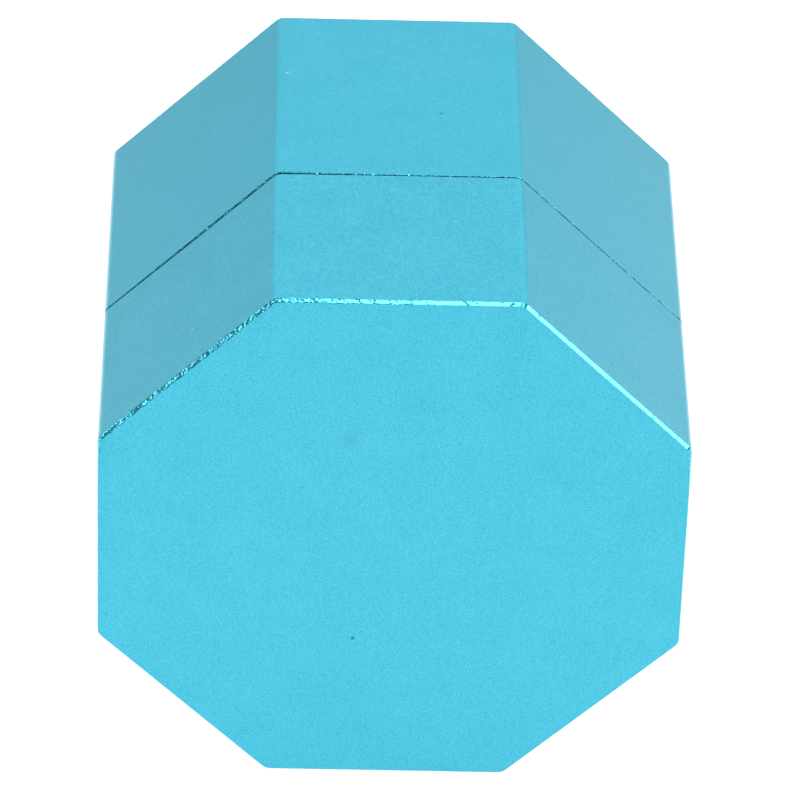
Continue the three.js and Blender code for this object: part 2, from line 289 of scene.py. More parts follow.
def skin(name, rings, finishes, closed=False):
    """A closed mesh through a row of rings. `closed` joins the last ring to the first."""
    mesh = bmesh.new()
    loops = [[mesh.verts.new(p) for p in ring_points(ring)] for ring in rings]
    pairs = list(zip(loops, loops[1:], rings[1:]))
    if closed:
        pairs.append((loops[-1], loops[0], rings[0]))
    for a, b, ring in pairs:
        if len(a) == 1:
            faces = fan(b, a[0])
        elif len(b) == 1:
            faces = fan(a, b[0])
        else:
            faces = band(a, b)
        for corners in faces:
            face = mesh.faces.new(corners)
            face.material_index = ring.finish
    bmesh.ops.recalc_face_normals(mesh, faces=mesh.faces)
    return finished(name, mesh, finishes)


def finished(name, mesh, finishes):
    """A bmesh as an object with its materials, still in the axis frame."""
    if mesh.calc_volume(signed=True) < 0:
        bmesh.ops.reverse_faces(mesh, faces=mesh.faces)
    data = bpy.data.meshes.new(name)
    mesh.to_mesh(data)
    mesh.free()
    for finish in finishes:
        data.materials.append(finish)
    made = bpy.data.objects.new(name, data)
    bpy.context.scene.collection.objects.link(made)
    return made


def eased(corners, finish=0, count=ROUND_COUNT):
    """Rings for a profile of (radius, station, ease). All its corners but the end ones are eased."""
    points = []
    for i, (radius, station, ease) in enumerate(corners):
        here = Vector((radius, station))
        if ease == 0 or i in (0, len(corners) - 1):
            points.append(here)
            continue
        before = (Vector(corners[i - 1][:2]) - here).normalized()
        after = (Vector(corners[i + 1][:2]) - here).normalized()
        half = before.angle(after) / 2
        centre = here + (before + after).normalized() * ease / math.sin(half)
        start = here + before * ease / math.tan(half) - centre
        turn = start.angle_signed(here + after * ease / math.tan(half) - centre)
        for k in range(EASE_STEPS + 1):
            points.append(centre + Matrix.Rotation(-turn * k / EASE_STEPS, 2) @ start)
    return [Ring(p.x, p.y, finish, count) for p in points]


def quarter_turn():
    """The sine and cosine of some angles from 0 to 90 degrees, to round a polygon's edge by."""
    steps = EASE_STEPS * 2
    angles = [math.pi / 2 * k / steps for k in range(steps + 1)]
    return [(math.sin(angle), math.cos(angle)) for angle in angles]


def combine(target, tools, operation):
    """Joins tools to the target, or cuts them out of it, and removes them."""
    for tool in tools:
        cut = target.modifiers.new("combine", "BOOLEAN")
        cut.operation = operation
        cut.solver = "MANIFOLD"
        cut.object = tool
    graph = bpy.context.evaluated_depsgraph_get()
    mesh = bpy.data.meshes.new_from_object(target.evaluated_get(graph))
    target.modifiers.clear()
    target.data = mesh
    for tool in tools:
        bpy.data.objects.remove(tool)
    return target


def place(piece, node, body, slot):
    """Puts a finished piece in the row frame, in place of its CAD node and on that node's body."""
    piece.data.transform(TO_ROW)
    piece.data.polygons.foreach_set("use_smooth", [True] * len(piece.data.polygons))
    piece.data.set_sharp_from_angle(angle=SHARP_ANGLE)
    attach(piece, body)
    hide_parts(node)


# ---------------------------------------------------------------- edges that were cut or broken by hand


def wander(ripple, seed):
    """A random value about 0 by angle, which changes over about `ripple` mm along the outline."""

    def at(angle):
        along = Vector((math.cos(angle), math.sin(angle), 0)) * ACROSS_FLATS / 2 / ripple
        return noise.noise(along + Vector((0, 0, seed)))

    return at


def near(angle, place):
    """1 at a place on the outline, falling to 0 on the far side of the barrel."""
    return 0.5 + 0.5 * math.cos(angle - place)


def chatter(angle):
    """How badly the cutter chattered, from 0 to 1. It was worst on one side."""
    return near(angle, CHATTER_AT) ** CHATTER_FOCUS


def knocked(angle):
    """How badly the body's mouth was knocked, from 0 to 1."""
    return max(0.0, math.cos(angle - KNOCKED_AT)) ** KNOCKED_FOCUS


def upward(angle):
    """1 on the three upper flats, fading to 0 at the top of the sides, and 0 from there down."""
    above = math.sin(angle) - math.sin(math.pi / SIDES)
    return min(1.0, max(0.0, 1 + above / SIDE_FADE))


def nowhere(angle):
    """No width at any angle."""
    return 0.0


def inset(outline, width):
    """An outline moved in by a width, both by angle."""
    return lambda angle: outline(angle) - width(angle) / math.cos(off_flat(angle, SIDES))


class Edge:
    """A hand-cut chamfer, as rings from its border on an end face to its border on the flats."""

    def __init__(self, cut, outline, end, inwards, seed):
        self.cut = cut
        self.outline = outline
        self.end = end
        self.inwards = inwards
        self.seed = seed
        self.on_face = self.border(seed)
        self.on_flat = self.border(seed + 7)
        self.ragged = wander(RAGGED_RIPPLE, seed + 3)

    def share(self, angle):
        """How much of the cut's full size there is at an angle."""
        return self.cut.least + (1 - self.cut.least) * upward(angle)

    def border(self, seed):
        """The cut's width by angle, up to one of its borders."""
        cut = self.cut
        fine = wander(FINE_RIPPLE, seed)
        coarse = wander(COARSE_RIPPLE, seed + 0.5)
        knock = wander(KNOCK_RIPPLE, seed + 0.8)

        def width(angle):
            nicked = cut.nick * knocked(angle) * max(0.0, knock(angle) - NICK_ABOVE)
            full = cut.width + cut.uneven * (fine(angle) + coarse(angle))
            return self.share(angle) * max(cut.width * LEAST_CUT, full) + nicked

        return width

    def dark_line_and_seam_shade_width(self, angle):
        """The width of the painted dark line along the border on the end face: partly painted shade on
        the end chamfers, and painted seam shade on the mouths.
        """
        worst = LINE_AT_CHATTER * chatter(angle) + LINE_RAGGED * self.ragged(angle) - LINE_LESS
        fade = upward(angle) if self.cut.least < 1 else 1.0
        return max(LEAST_LINE, fade * (self.cut.line + self.cut.line_uneven * worst))

    def dark_line_and_seam_shade_on_flats(self, angle):
        """The width of the painted dark line on the flats, which shows only where the cutter chattered;
        at the mouths it is painted seam shade.
        """
        return max(LEAST_LINE, self.dark_line_and_seam_shade_width(angle) * (chatter(angle) - FLAT_LINE_ABOVE))

    def sunk(self, ring_seed):
        """How far the tool dented a ring on the cut, by angle."""
        dent = wander(DENT_RIPPLE, self.seed + ring_seed)

        def depth(angle):
            rough = LEAST_DENT + (1 - LEAST_DENT) * chatter(angle)
            return self.cut.facet * self.share(angle) * rough * dent(angle)

        return depth

    def ring(self, from_rim, from_end, finish):
        """A ring so far in from the outline and so far in from the end, both by angle."""

        def station(angle):
            return value(self.end, angle) + self.inwards * from_end(angle)

        return Ring(inset(self.outline, from_rim), station, finish, EDGE_COUNT)

    def across(self, share):
        """A ring on the cut, `share` of the way from the face to the flats."""
        sunk = self.sunk(10 * share)

        def from_rim(angle):
            return (1 - share) * self.on_face(angle) + sunk(angle)

        def from_end(angle):
            return share * self.on_flat(angle) + sunk(angle)

        return self.ring(from_rim, from_end, CUT)

    def rings(self):
        """From the end face to the flats."""

        def face_line(angle):
            return self.on_face(angle) + self.dark_line_and_seam_shade_width(angle)

        def flat_line(angle):
            return self.on_flat(angle) + self.dark_line_and_seam_shade_on_flats(angle)

        return [
            self.ring(face_line, nowhere, BLASTED),
            # The dark bands either side of the cut are painted: partly painted shade on the end
            # chamfers, painted seam shade on the mouths.
            self.ring(self.on_face, nowhere, DARK_LINE_AND_SEAM_SHADE),
            *(self.across(share) for share in (0.25, 0.5, 0.75)),
            self.ring(nowhere, self.on_flat, CUT),
            self.ring(nowhere, flat_line, DARK_LINE_AND_SEAM_SHADE),
        ]

    def rings_back(self):
        """From the flats to the end face. A ring's finish is that of the band before it."""
        made = self.rings()
        finishes = [BLASTED] + [ring.finish for ring in made[:0:-1]]
        return [ring._replace(finish=finish) for ring, finish in zip(made[::-1], finishes)]


def end_face(station):
    """Rings of a plain end face, from its middle almost to its edge."""
    return [
        Ring(0, station),
        Ring(FACE_HUB, station, BLASTED, ROUND_COUNT // 4),
        Ring(polygon(SIDES, ACROSS_FLATS - 2 * FACE_BORDER, LONG_EDGE_RADIUS), station),
    ]


# ---------------------------------------------------------------- the screw thread


def rib_section():
    """A rib's section from its root to its crest and back, as (height, along the axis)."""
    half_root, half_crest = RIB_ROOT / 2, RIB_CREST / 2
    return [
        (-RIB_BURIED, -half_root),
        (THREAD_DEPTH - RIB_EASE, -half_crest),
        (THREAD_DEPTH, -half_crest + RIB_EASE),
        (THREAD_DEPTH, half_crest - RIB_EASE),
        (THREAD_DEPTH - RIB_EASE, half_crest),
        (-RIB_BURIED, half_root),
    ]


def thread_rib(wall, direction, start, finishes):
    """One rib of the right-hand thread, growing outwards or inwards from a wall, with faded ends."""
    section = rib_section()
    steps = ROUND_COUNT // 2
    mesh = bmesh.new()
    loops = []
    for i in range(steps + 1):
        share = i / steps
        fade = min(1, share / RIB_FADE, (1 - share) / RIB_FADE)
        fade = fade * fade * (3 - 2 * fade)
        turn = share * THREAD_TURN
        loop = []
        for height, along in section:
            grown = height if height < 0 else height * fade - RIB_BURIED / 2 * (1 - fade)
            radius = wall + direction * grown
            station = THREAD_FROM + THREAD_LEAD * turn / (2 * math.pi) + along
            x = radius * math.cos(start + turn)
            y = radius * math.sin(start + turn)
            loop.append(mesh.verts.new((x, y, station)))
        loops.append(loop)
    for a, b in zip(loops, loops[1:]):
        for face in band(a, b):
            mesh.faces.new(face)
    mesh.faces.new(loops[0])
    mesh.faces.new(loops[-1])
    bmesh.ops.recalc_face_normals(mesh, faces=mesh.faces)
    for face in mesh.faces:
        face.material_index = TURNED
    return finished("rib", mesh, finishes)


def thread(wall, direction, first, finishes):
    """Every rib of a thread."""
    step = 2 * math.pi / THREAD_STARTS
    return [thread_rib(wall, direction, first + step * i, finishes) for i in range(THREAD_STARTS)]


def at_screws(make):
    """Copies of a tool on the axis, each moved out to a screw's place."""
    copies = []
    for i in range(SCREW_COUNT):
        angle = 2 * math.pi * (i + 0.5) / SCREW_COUNT
        tool = make()
        out = Vector((math.cos(angle), math.sin(angle), 0)) * SCREW_CIRCLE
        tool.data.transform(Matrix.Translation(out))
        copies.append(tool)
    return copies


# ---------------------------------------------------------------- materials


class Nodes:
    """A material's node tree, with short calls for the nodes that the finishes share."""

    def __init__(self, name):
        self.material = bpy.data.materials.new(name)
        self.material.use_nodes = True
        self.tree = self.material.node_tree
        self.shader = self.tree.nodes["Principled BSDF"]
        self.place = self.node("ShaderNodeTexCoord").outputs["Object"]

    def node(self, kind, **inputs):
        """A new node, with its inputs set or linked by name."""
        made = self.tree.nodes.new(kind)
        for key, what in inputs.items():
            self.feed(made.inputs[key.replace("_", " ")], what)
        return made

    def feed(self, socket, what):
        """Links a socket to another, or sets its value."""
        if isinstance(what, bpy.types.NodeSocket):
            self.tree.links.new(what, socket)
        else:
            socket.default_value = what

    def noise(self, size_mm, detail=2.0, where=None):
        """Cloudy variation between 0 and 1, with features about size_mm across."""
        made = self.node("ShaderNodeTexNoise", Scale=1 / (size_mm * MM), Detail=detail)
        self.feed(made.inputs["Vector"], where or self.place)
        return made.outputs["Fac"]

    def math(self, operation, a, b=0.0):
        """The result of one operation on two values, or on one."""
        made = self.node("ShaderNodeMath")
        made.operation = operation
        self.feed(made.inputs[0], a)
        self.feed(made.inputs[1], b)
        return made.outputs[0]

    def total(self, first, *others):
        """The sum of some (value, weight) pairs."""
        result = self.math("MULTIPLY", *first)
        for other in others:
            result = self.math("ADD", result, self.math("MULTIPLY", *other))
        return result

    def ramp(self, what, low, high, to_low=0.0, to_high=1.0):
        """A value from low to high, taken to one from to_low to to_high and held at both ends."""
        made = self.node("ShaderNodeMapRange", From_Min=low, From_Max=high)
        self.feed(made.inputs["To Min"], to_low)
        self.feed(made.inputs["To Max"], to_high)
        self.feed(made.inputs["Value"], what)
        return made.outputs["Result"]

    def stretch(self, what, to_low=0.0, to_high=1.0):
        """A noise's usual values, stretched out between two others."""
        return self.ramp(what, NOISE_LOW, NOISE_HIGH, to_low, to_high)

    def blend(self, share, a, b):
        """Colour a where share is 0, colour b where it is 1."""
        made = self.node("ShaderNodeMix")
        made.data_type = "RGBA"
        self.feed(made.inputs[0], share)
        self.feed(made.inputs[6], a)
        self.feed(made.inputs[7], b)
        return made.outputs[2]

    def stain(self, colour, tint, where, strength):
        """A colour with a tint over it, as strong as it says where `where` is 1."""
        return self.blend(self.math("MULTIPLY", where, strength), colour, tint)

    def spot(self, centre, radius, softness):
        """1 in a small patch round a point in mm, fading out over `softness` mm."""
        away = self.node("ShaderNodeVectorMath")
        away.operation = "DISTANCE"
        self.feed(away.inputs[0], self.place)
        away.inputs[1].default_value = Vector(centre) * MM
        return self.ramp(away.outputs["Value"], (radius + softness) * MM, radius * MM)

    def around(self):
        """Distance from the barrel's axis and place along it, for marks that a lathe leaves."""
        parts = self.node("ShaderNodeSeparateXYZ", Vector=self.place)
        up = self.math("SUBTRACT", parts.outputs["Z"], AXIS_Z)
        square = self.math("ADD", self.math("POWER", parts.outputs["X"], 2), self.math("POWER", up, 2))
        made = self.node("ShaderNodeCombineXYZ", X=self.math("SQRT", square), Z=parts.outputs["Y"])
        return made.outputs["Vector"]

    def bump(self, height, depth_mm, strength):
        """A normal for a surface that stands up to depth_mm proud where height is 1."""
        made = self.node("ShaderNodeBump", Strength=strength, Distance=depth_mm * MM, Height=height)
        return made.outputs["Normal"]

    def finish(self, **inputs):
        """Sets or links the shader's own inputs, and gives the finished material."""
        for key, what in inputs.items():
            self.feed(self.shader.inputs[key.replace("_", " ")], what)
        return self.material


def shade(colour, share):
    """A colour made lighter or darker by a share."""
    return (*(c * share for c in colour), 1.0)


NOISE_LOW, NOISE_HIGH = 0.3, 0.7  # between which nearly all of a noise's values are
DYE = (0.035, 0.54, 0.72)
DYE_DEEP = (0.004, 0.475, 0.65)
DYE_PALE = (0.07, 0.605, 0.79)
DYE_SPREAD = 0.2  # how far the grain's random value is from its middle at either of those
# A painted dark teal for the line along the chamfers and for the seam: partly painted shade.
DARK_LINE_AND_SEAM_SHADE_COLOUR = (0.002, 0.09, 0.13)
DARK_LINE_AND_SEAM_SHADE_EDGE_TINT = (0.02, 0.35, 0.5)  # how the painted dark line's glancing reflections are tinted
BARE = (0.75, 0.85, 0.88)
STEEL_DARK = (0.5, 0.51, 0.52)
STEEL_PALE = (0.62, 0.625, 0.63)
ACETAL_DARK = (0.74, 0.73, 0.68)
ACETAL_PALE = (0.84, 0.83, 0.79)
LINER_BLACK = (0.012, 0.012, 0.013)
SEAL_BLACK = (0.018, 0.018, 0.020)

# Small marks on the shells in the row frame, in mm: the middle, the radius and how strong.
DARK_FLECKS = [
    ((-7.4, -52.5, 35.2), 0.25, 0.8),
    ((-58.3, -52.5, 40.3), 0.12, 0.5),
    ((9.0, 16.0, 120.0), 0.2, 0.7),
]
PALE_SPECKS = [
    ((-23.1, 30.5, 120.0), 0.16, 0.7),
    ((-22.5, 30.3, 120.0), 0.1, 0.6),
    ((-41.3, -40.2, 103.5), 0.18, 0.7),
]
SCRATCH_FROM = Vector((-36.7, -33.7, 108.2))
SCRATCH_STEP = Vector((0.44, 0.24, 0.44))
SCRATCH_SPECKS = 6  # the scratch is a row of them,
SCRATCH_RADIUS = 0.1  # each this big
SCRATCH_STRENGTH = 0.6
SMUDGE = ((-9.0, -52.5, 85.8), 0.4, 0.4)
SMUDGE_SOFT = 2.6  # how far the smudge fades out


def pale_specks():
    """The single pale specks and those of the scratch."""
    scratch = [SCRATCH_FROM + SCRATCH_STEP * i for i in range(SCRATCH_SPECKS)]
    return PALE_SPECKS + [(middle, SCRATCH_RADIUS, SCRATCH_STRENGTH) for middle in scratch]


def marked(n, colour):
    """A shell's colour with its small marks on it."""
    for middle, radius, strength in DARK_FLECKS:
        colour = n.stain(colour, shade(DYE, 0.12), n.spot(middle, radius, radius), strength)
    for middle, radius, strength in pale_specks():
        colour = n.stain(colour, shade(BARE, 1.0), n.spot(middle, radius, radius), strength)
    middle, radius, strength = SMUDGE
    return n.stain(colour, shade(DYE, 0.7), n.spot(middle, radius, SMUDGE_SOFT), strength)


def blasted_aluminium(name, contrast):
    """Bead-blasted and anodised: an even satin grain, faint clouds in the dye and a few marks."""
    n = Nodes(name)
    grain = n.noise(0.36, 3.0)
    clouds = n.noise(9.0, 3.0)
    patches = n.noise(1.6, 2.0)
    tone = n.total((grain, 0.75), (clouds, 0.1), (patches, 0.15))
    spread = DYE_SPREAD / contrast
    tone = n.ramp(tone, 0.5 - spread, 0.5 + spread)
    colour = n.blend(tone, shade(DYE_DEEP, 1.0), shade(DYE_PALE, 1.0))
    pits = n.ramp(n.noise(0.42, 1.0), 0.33, 0.26)
    colour = n.stain(colour, shade(DYE, 0.35), pits, 0.4 * contrast)
    return n.finish(
        Base_Color=marked(n, colour),
        Metallic=1.0,
        Roughness=n.stretch(patches, 0.5, 0.56),
        Normal=n.bump(grain, 0.02 * contrast, 0.5),
        Coat_Weight=1.0,
        Coat_Roughness=0.3,
        Coat_IOR=1.5,
    )


def bright_cut_aluminium():
    """The mirror-cut chamfer under its clear film, with fine marks from the cutter."""
    n = Nodes("bright_cut_aluminium")
    marks = n.noise(0.5, 3.0)
    colour = n.blend(n.ramp(marks, 0.35, 0.65), shade(DYE, 0.8), shade(DYE, 1.15))
    return n.finish(
        Base_Color=colour,
        Metallic=1.0,
        Roughness=n.stretch(marks, 0.1, 0.2),
        Normal=n.bump(marks, 0.03, 0.4),
        Coat_Weight=1.0,
        Coat_Roughness=0.08,
        Coat_IOR=1.6,
    )


def dark_line_and_seam_shade_aluminium():
    """A painted dark line along the edges of each cut: partly painted shade on the end chamfers, and
    painted shade for the seam on the mouths.
    """
    n = Nodes("dark_line_and_seam_shade_aluminium")
    grain = n.noise(0.4, 2.0)
    colour = n.blend(n.stretch(grain), shade(DARK_LINE_AND_SEAM_SHADE_COLOUR, 0.5), shade(DARK_LINE_AND_SEAM_SHADE_COLOUR, 1.3))
    return n.finish(
        Base_Color=colour,
        Metallic=1.0,
        Roughness=n.stretch(grain, 0.4, 0.55),
        Specular_Tint=shade(DARK_LINE_AND_SEAM_SHADE_EDGE_TINT, 1.0),
    )


def turned_aluminium():
    """Anodised over fine turning marks, for the neck, the thread and the bores."""
    n = Nodes("turned_aluminium")
    marks = n.noise(0.18, 2.0, n.around())
    clouds = n.noise(6.0, 2.0)
    colour = n.blend(n.stretch(clouds), shade(DYE, 0.88), shade(DYE, 1.0))
    return n.finish(
        Base_Color=colour,
        Metallic=1.0,
        Roughness=n.stretch(marks, 0.26, 0.4),
        Normal=n.bump(marks, 0.012, 0.6),
        Coat_Weight=0.2,
        Coat_Roughness=0.2,
    )


def moulded_rubber(name, tone, roughness):
    """Black rubber from a blasted mould, slightly dusty."""
    n = Nodes(name)
    skin_grain = n.noise(0.3, 3.0)
    dust = n.noise(7.0, 4.0)
    colour = n.blend(n.ramp(dust, 0.45, 0.75), shade(tone, 0.85), shade(tone, 1.5))
    return n.finish(
        Base_Color=colour,
        Roughness=n.stretch(dust, roughness, roughness + 0.12),
        Normal=n.bump(skin_grain, 0.03, 0.5),
    )


def turned_stainless():
    """Stainless steel with concentric turning marks."""
    n = Nodes("turned_stainless")
    marks = n.noise(0.22, 2.0, n.around())
    colour = n.blend(n.stretch(marks), shade(STEEL_DARK, 1.0), shade(STEEL_PALE, 1.0))
    return n.finish(
        Base_Color=colour,
        Metallic=1.0,
        Roughness=n.stretch(marks, 0.2, 0.34),
        Normal=n.bump(marks, 0.01, 0.6),
    )


def machined_acetal():
    """Natural white acetal with faint turning marks."""
    n = Nodes("machined_acetal")
    marks = n.noise(0.25, 2.0, n.around())
    colour = n.blend(n.stretch(marks), shade(ACETAL_DARK, 1.0), shade(ACETAL_PALE, 1.0))
    return n.finish(
        Base_Color=colour,
        Roughness=n.stretch(marks, 0.38, 0.5),
        Normal=n.bump(marks, 0.01, 0.5),
        Subsurface_Weight=0.1,
        Subsurface_Scale=0.002,
    )


cut_finishes = [bright_cut_aluminium(), dark_line_and_seam_shade_aluminium(), turned_aluminium()]
body_finishes = [blasted_aluminium("blasted_body", 1.0), *cut_finishes]
lid_finishes = [blasted_aluminium("blasted_lid", 1.5), *cut_finishes]
liner_rubber = moulded_rubber("liner_rubber", LINER_BLACK, 0.66)
seal_rubber = moulded_rubber("seal_rubber", SEAL_BLACK, 0.5)
stainless = turned_stainless()
acetal = machined_acetal()


# ---------------------------------------------------------------- pieces


def seam_face(angle):
    """The body's mouth, not quite true: the seam is tight in one place and slack elsewhere."""
    return SEAM_TIGHT * near(angle, SEAM_TIGHT_AT) ** SEAM_TIGHT_FOCUS - SEAM_SLACK


def body_shell():
    """Rear shell: chamfered back, flats, broken mouth edge, grooved and threaded neck, and bore."""
    back = span("body_shell")[0]
    outline = polygon(SIDES, ACROSS_FLATS, LONG_EDGE_RADIUS)
    groove_from, groove_to, groove_depth = O_RING_GROOVE
    floor = back + BODY_FLOOR
    rings = end_face(back)
    rings += Edge(END_CUT, outline, back, 1, 3).rings()
    rings += Edge(BODY_MOUTH_CUT, outline, seam_face, -1, 21).rings_back()
    rings += eased(
        [
            (NECK_RADIUS, 0, 0),
            (NECK_RADIUS, groove_from, EASE / 2),
            (NECK_RADIUS - groove_depth, groove_from, EASE),
            (NECK_RADIUS - groove_depth, groove_to, EASE),
            (NECK_RADIUS, groove_to, EASE / 2),
            (NECK_RADIUS, NECK_LENGTH - NECK_CHAMFER, 0.2),
            (NECK_RADIUS - NECK_CHAMFER, NECK_LENGTH, 0.2),
            (BODY_BORE, NECK_LENGTH, EASE),
            (BODY_BORE, floor, BORE_EASE),
            (0, floor, 0),
        ],
        TURNED,
    )
    shell = skin("barrel_body", rings, body_finishes)
    return combine(shell, thread(NECK_RADIUS, 1, 0, body_finishes), "UNION")


def lid_shell():
    """Front shell: plain chamfered face, flats, and the threaded bore with the swivel's boss."""
    mouth, front = span("lid_shell")
    outline = polygon(SIDES, ACROSS_FLATS, LONG_EDGE_RADIUS)
    inside = front - LID_FRONT_WALL
    ring_back = span("retainer_ring")[0]
    boss_end = ring_back + RING_FLANGE + FIT_GAP
    hole_start = boss_end - TOOL_PROUD
    hole_end = span("retainer_screw_1")[1] + SCREW_HOLE_BEYOND
    rings = end_face(front)
    rings += Edge(END_CUT, outline, front, -1, 5).rings()
    rings += Edge(LID_MOUTH_CUT, outline, mouth, 1, 34).rings_back()
    rings += eased(
        [
            (LID_BORE, mouth, 0),
            (LID_BORE, LID_STEP_AT, EASE),
            (LID_CHAMBER, LID_STEP_AT, EASE),
            (LID_CHAMBER, inside, BORE_EASE),
            (BOSS_RADIUS, inside, 0.8),
            (BOSS_RADIUS, boss_end, 0.4),
            (POCKET_RADIUS, boss_end, EASE),
            (POCKET_RADIUS, front - POCKET_WALL, EASE),
            (0, front - POCKET_WALL, 0),
        ],
        TURNED,
    )
    shell = skin("barrel_lid", rings, lid_finishes)
    combine(shell, thread(LID_BORE, -1, math.pi / THREAD_STARTS, lid_finishes), "UNION")

    def hole():
        corners = [
            (0, hole_start, 0),
            (SCREW_HOLE_RADIUS, hole_start, 0),
            (SCREW_HOLE_RADIUS, hole_end, 0),
            (0, hole_end, 0),
        ]
        return skin("hole", eased(corners, TURNED, TINY_COUNT), lid_finishes)

    return combine(shell, at_screws(hole), "DIFFERENCE")


def body_liner():
    """Rubber cup with an octagonal chamber and a flange folded over the neck's end."""
    back, front = span("body_liner")
    chamber_back = back + LINER_FLOOR
    flange_back = front - LINER_FLANGE
    flange_radius = reach("body_liner")
    rings = eased(
        [
            (0, back, 0),
            (LINER_RADIUS, back, 2.0),
            (LINER_RADIUS, flange_back, 0.5),
            (flange_radius, flange_back, 0.8),
            (flange_radius, front, 1.2),
            (LINER_RADIUS - LINER_FACE_IN, front, 0),
        ]
    )
    for sine, cosine in quarter_turn():
        grown = CHAMBER_LIP * (1 - sine)
        outline = polygon(SIDES, CHAMBER_ACROSS_FLATS + 2 * grown, CHAMBER_CORNER + grown)
        rings.append(Ring(outline, front - CHAMBER_LIP * (1 - cosine)))
    for sine, cosine in quarter_turn():
        shrunk = CHAMBER_FLOOR_EASE * (1 - cosine)
        corner = max(CHAMBER_CORNER - shrunk, CHAMBER_FLOOR_CORNER)
        outline = polygon(SIDES, CHAMBER_ACROSS_FLATS - 2 * shrunk, corner)
        rings.append(Ring(outline, chamber_back + CHAMBER_FLOOR_EASE * (1 - sine)))
    rings.append(Ring(HUB_RADIUS, chamber_back))
    rings.append(Ring(0, chamber_back))
    return skin("rubber_liner", rings, [liner_rubber])


def neck_o_ring():
    """Round-section ring lying in the neck's groove."""
    back, front = span("neck_o_ring")
    section = (front - back) / 2
    middle = reach("neck_o_ring") - section
    station = (front + back) / 2
    rings = []
    for k in range(TINY_COUNT):
        angle = 2 * math.pi * k / TINY_COUNT
        rings.append(Ring(middle + section * math.cos(angle), station + section * math.sin(angle)))
    return skin("o_ring", rings, [seal_rubber], closed=True)


def seal_boot():
    """Rubber boot: octagonal plug, sealing face, and a lip folded over the plate's dry side."""
    plug_back, boot_front = span("seal_boot")
    plate_back, plate_front = span("seal_plate")
    slot_back, slot_front = plate_back - FIT_GAP, plate_front + FIT_GAP
    face = span("body_liner")[1] + FIT_GAP
    radius = reach("seal_boot")
    nut_pocket = span("spindle_nut")[0] - NUT_POCKET_ROOM
    rings = [Ring(0, plug_back), Ring(HUB_RADIUS, plug_back)]
    for sine, cosine in quarter_turn():
        shrunk = PLUG_EASE * (1 - sine)
        outline = polygon(SIDES, PLUG_ACROSS_FLATS - 2 * shrunk, PLUG_CORNER - shrunk)
        rings.append(Ring(outline, plug_back + PLUG_EASE * (1 - cosine)))
    for grown in (0.0, PLUG_ROOT):
        outline = polygon(SIDES, PLUG_ACROSS_FLATS + 2 * grown, PLUG_CORNER + grown)
        rings.append(Ring(outline, face - PLUG_ROOT + grown))
    rings += eased(
        [
            (radius - BOOT_FACE_IN, face, 0),
            (radius, face, BOOT_EASE),
            (radius, boot_front, BOOT_EASE),
            (BOOT_LIP_INNER_RADIUS, boot_front, 0.6),
            (BOOT_LIP_INNER_RADIUS, slot_front, EASE),
            (BOOT_SLOT_RADIUS, slot_front, EASE),
            (BOOT_SLOT_RADIUS, slot_back, EASE),
            (NUT_POCKET_RADIUS, slot_back, 0.4),
            (NUT_POCKET_RADIUS, nut_pocket, 0.6),
            (0, nut_pocket, 0),
        ]
    )
    return skin("rubber_boot", rings, [seal_rubber])


def seal_plate():
    """Stainless disc with a hole for the spindle."""
    back, front = span("seal_plate")
    rings = washer_rings(reach("seal_plate"), STUB_HOLE, back, front, EASE)
    return skin("steel_plate", rings, [stainless], closed=True)


def washer_rings(outer, inner, back, front, ease, count=ROUND_COUNT):
    """Rings of a flat washer with eased edges."""
    middle = (outer + inner) / 2
    corners = [
        (middle, back, 0),
        (outer, back, ease),
        (outer, front, ease),
        (inner, front, ease),
        (inner, back, ease),
        (middle - JOIN_STEP, back, 0),
    ]
    return eased(corners, count=count)


def swivel_spindle():
    """Stub, shaft and head turned in one, with a hexagonal key socket."""
    back, front = span("swivel_spindle")
    shaft_back = span("seal_plate")[1] + FIT_GAP
    head = reach("swivel_spindle")
    head_back = front - HEAD_THICKNESS
    socket = polygon(HEXAGON, HEAD_KEY, HEAD_KEY_CORNER)
    socket_back = front - HEAD_KEY_DEPTH
    rings = eased(
        [
            (0, back, 0),
            (STUB_RADIUS, back, 0.5),
            (STUB_RADIUS, shaft_back, 0.2),
            (SHAFT_RADIUS, shaft_back, EASE),
            (SHAFT_RADIUS, head_back, EASE),
            (head, head_back, 0.4),
            (head, front, 0.6),
            (HEAD_KEY_RIM, front, 0),
        ],
        count=HUB_COUNT,
    )
    rings += [Ring(socket, station, 0, HUB_COUNT) for station in (front, socket_back)]
    rings.append(Ring(0, socket_back - HEAD_KEY_TIP))
    return skin("spindle", rings, [stainless])


def spindle_nut():
    """Hexagonal jam nut, its corners chamfered on both faces."""
    back, front = span("spindle_nut")
    to_flat = reach("spindle_nut")
    to_corner = to_flat / math.cos(math.pi / HEXAGON)
    hexagon = polygon(HEXAGON, 2 * to_flat, NUT_CORNER)
    start = to_flat - NUT_CORNER / 2  # the chamfer's radius on the faces
    shares = [k / EASE_STEPS for k in range(EASE_STEPS + 1)]

    def chamfered(station, share):
        """The nut's outline at a station on its chamfer, `share` of the way down it."""
        limit = start + share * (to_corner - start)
        return within(hexagon, limit), station

    levels = [(STUB_HOLE + EASE, back), (to_flat - NUT_CORNER, back)]
    levels += [chamfered(back + NUT_CHAMFER * share, share) for share in shares]
    levels += [chamfered(front - NUT_CHAMFER * share, share) for share in shares[::-1]]
    levels += [(to_flat - NUT_CORNER, front), (STUB_HOLE + EASE, front)]
    levels += [(STUB_HOLE, front - EASE), (STUB_HOLE, back + EASE)]
    rings = [Ring(radius, station, 0, HUB_COUNT) for radius, station in levels]
    return skin("jam_nut", rings, [stainless], closed=True)


def washer(name, node, inner, finish):
    """A flat washer that replaces a CAD one."""
    back, front = span(node)
    rings = washer_rings(reach(node), inner, back, front, 0.2, HUB_COUNT)
    return skin(name, rings, [finish], closed=True)


